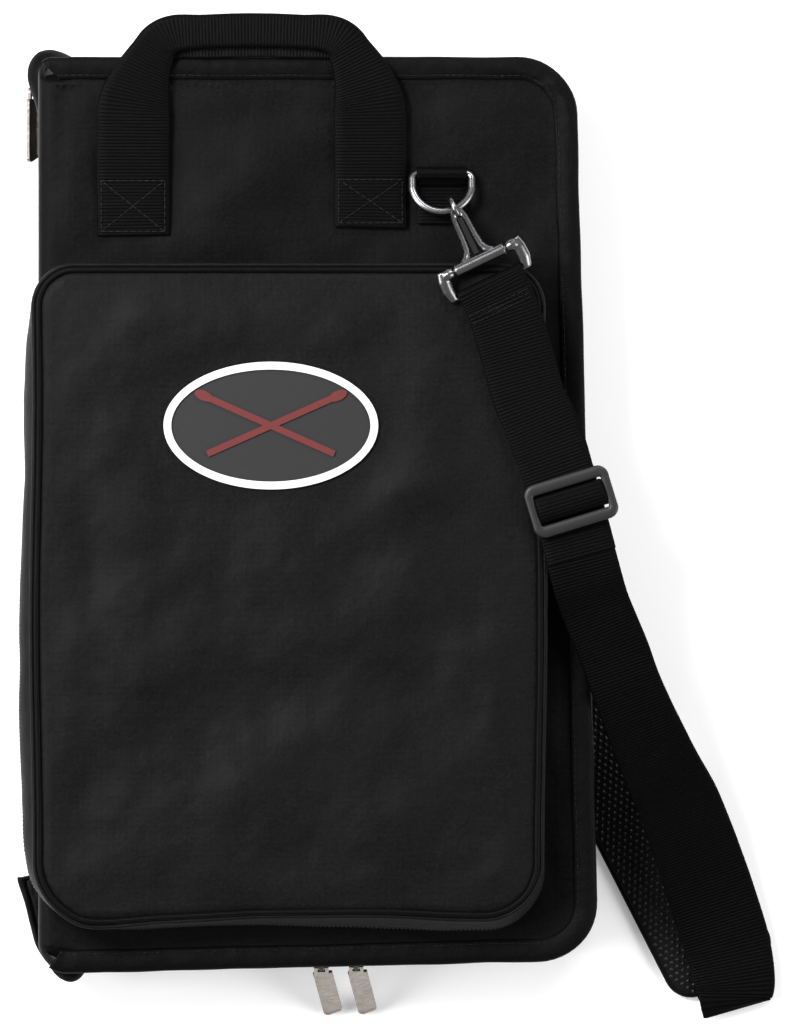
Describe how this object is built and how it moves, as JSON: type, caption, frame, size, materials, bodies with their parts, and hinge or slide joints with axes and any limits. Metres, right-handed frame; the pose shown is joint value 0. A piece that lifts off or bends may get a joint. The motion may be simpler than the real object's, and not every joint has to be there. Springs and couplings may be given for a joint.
{
  "type": "drum stick bag",
  "caption": "Zipped clamshell bag for drum sticks with a front pocket, carry handle, D-rings and a padded shoulder strap.",
  "frame": {"origin": "middle of the body on the plane the bag's back rests on", "axes": "+X across the front to the zip side, +Y towards the carry handle, +Z out of the front"},
  "size_m": [0.3911, 0.5267, 0.0987],
  "materials": {
    "oxford_black": "black coated oxford weave, soft sheen",
    "binding_black": "black ribbed binding tape",
    "webbing_black": "black ribbed webbing",
    "zip_tape_black": "black woven zip tape",
    "lining_grey": "dark grey nylon lining",
    "grip_mesh_black": "black mesh with raised shiny dots",
    "coil_black": "black nylon coil",
    "nickel": "bright nickel plate, lightly rubbed",
    "dark_nickel": "smoky nickel plate",
    "black_nickel": "satin black plate",
    "badge_rubber_dark": "moulded soft rubber",
    "badge_rubber_pale": "moulded soft rubber",
    "badge_rubber_red": "moulded soft rubber"
  },
  "bodies": {
    "back_half": {"back_panel": "oxford_black", "back_binding": "binding_black", "back_gusset": "oxford_black", "back_spine": "oxford_black", "back_zip_tape": "zip_tape_black", "back_zip_coil": "coil_black", "back_lining": "lining_grey", "stick_sleeves": "lining_grey", "sleeve_mouth_binding": "binding_black", "rear_pocket_panel": "oxford_black", "rear_pocket_gusset": "oxford_black", "rear_zipper": "zip_tape_black", "zip_tab_top": "webbing_black", "zip_tab_bottom": "webbing_black", "strap_lower": "webbing_black", "strap_rear": "webbing_black", "rear_ring_tab": "webbing_black", "rear_d_ring": "dark_nickel", "rear_snap_hook": "dark_nickel", "rear_hook_gate": "dark_nickel", "rear_strap_bracket": "dark_nickel"},
    "front_cover": {"front_panel": "oxford_black", "front_binding": "binding_black", "front_gusset": "oxford_black", "front_spine": "oxford_black", "front_zip_tape": "zip_tape_black", "front_zip_coil": "coil_black", "front_lining": "lining_grey", "pocket_gusset": "oxford_black", "pocket_zip_coil": "coil_black", "pocket_panel": "oxford_black", "pocket_piping": "binding_black", "badge_ground": "badge_rubber_dark", "badge_rim": "badge_rubber_pale", "badge_sticks": "badge_rubber_red", "handle_anchor_left": "webbing_black", "handle_anchor_right": "webbing_black", "d_ring_tab": "webbing_black", "strap_bracket": "dark_nickel", "strap_upper": "webbing_black"},
    "pocket_flap": {"flap_panel": "oxford_black", "flap_gusset": "oxford_black", "flap_zip_coil": "coil_black", "flap_piping": "binding_black"},
    "carry_handle": {"carry_handle": "webbing_black"},
    "d_ring": {"d_ring": "dark_nickel"},
    "snap_hook": {"snap_hook": "dark_nickel"},
    "hook_gate": {"snap_hook_gate": "dark_nickel"},
    "strap_adjuster": {"strap_adjuster": "black_nickel", "adjuster_webbing": "webbing_black"},
    "shoulder_pad": {"shoulder_pad": "oxford_black", "pad_grip_mesh": "grip_mesh_black"},
    "slider_left": {"slider_left": "nickel"},
    "pull_left": {"pull_left": "nickel"},
    "slider_right": {"slider_right": "nickel"},
    "pull_right": {"pull_right": "nickel"},
    "pocket_slider": {"pocket_slider": "black_nickel"},
    "pocket_pull": {"pocket_pull": "black_nickel"},
    "rear_slider": {"rear_slider": "nickel"},
    "rear_pull": {"rear_pull": "nickel"}
  },
  "joints": [
    {"name": "cover_hinge", "type": "hinge", "parent": "back_half", "child": "front_cover", "pos_m": [-0.1436, 0, 0.0343], "axis": [0, -1, 0], "range_deg": [0, 110], "deforming": ["strap_lower"]},
    {"name": "pocket_flap_fold", "type": "hinge", "parent": "front_cover", "child": "pocket_flap", "pos_m": [-0.012, -0.0302, 0.0896], "axis": [-1, 0, 0], "range_deg": [0, 95]},
    {"name": "handle_swing", "type": "hinge", "parent": "front_cover", "child": "carry_handle", "pos_m": [-0.031, 0.175, 0.0647], "axis": [1, 0, 0], "range_deg": [0, 110]},
    {"name": "d_ring_tilt", "type": "hinge", "parent": "front_cover", "child": "d_ring", "pos_m": [0.0676, 0.176, 0.0657], "axis": [-1, 0, 0], "range_deg": [0, 3.5]},
    {"name": "snap_hook_tilt", "type": "hinge", "parent": "front_cover", "child": "snap_hook", "pos_m": [0.087, 0.1305, 0.0947], "axis": [-0.9025, -0.4307, 0], "range_deg": [0, 1.8]},
    {"name": "hook_gate_press", "type": "hinge", "parent": "snap_hook", "child": "hook_gate", "pos_m": [0.087, 0.1305, 0.0947], "axis": [0.9025, 0.4307, 0], "range_deg": [0, 6], "stiffness_Nm_per_rad": 0.02},
    {"name": "adjuster_slide", "type": "slide", "parent": "front_cover", "child": "strap_adjuster", "axis": [0.2924, -0.9563, 0], "range_m": [-0.012, 0.012]},
    {"name": "pad_slide", "type": "slide", "parent": "back_half", "child": "shoulder_pad", "axis": [-0.454, 0.891, 0], "range_m": [0, 0.03]},
    {"name": "slider_left_run", "type": "slide", "parent": "back_half", "child": "slider_left", "axis": [-0.9997, -0.0239, 0], "range_m": [0, 0.115]},
    {"name": "pull_left_swing", "type": "hinge", "parent": "slider_left", "child": "pull_left", "pos_m": [0.00468, -0.23807, 0.0343], "axis": [-0.9997, -0.0239, 0], "range_deg": [0, 125]},
    {"name": "slider_right_run", "type": "slide", "parent": "back_half", "child": "slider_right", "axis": [0.9997, 0.0239, 0], "range_m": [0, 0.08]},
    {"name": "pull_right_swing", "type": "hinge", "parent": "slider_right", "child": "pull_right", "pos_m": [0.02288, -0.23764, 0.0343], "axis": [-0.9997, -0.0239, 0], "range_deg": [0, 125]},
    {"name": "pocket_slider_run", "type": "slide", "parent": "front_cover", "child": "pocket_slider", "axis": [0, -1, 0], "range_m": [0, 0.19]},
    {"name": "pocket_pull_swing", "type": "hinge", "parent": "pocket_slider", "child": "pocket_pull", "pos_m": [0.1225, 0.02, 0.0743], "axis": [0, -1, 0], "range_deg": [0, 60]},
    {"name": "rear_slider_run", "type": "slide", "parent": "back_half", "child": "rear_slider", "axis": [0, -1, 0], "range_m": [0, 0.38]},
    {"name": "rear_pull_swing", "type": "hinge", "parent": "rear_slider", "child": "rear_pull", "pos_m": [-0.1472, 0.221, 0.0086], "axis": [0, 0, -1], "range_deg": [0, 90]}
  ],
  "couplings": [
    {"joint": "snap_hook_tilt", "follows": "d_ring_tilt", "ratio": 0.414}
  ]
}
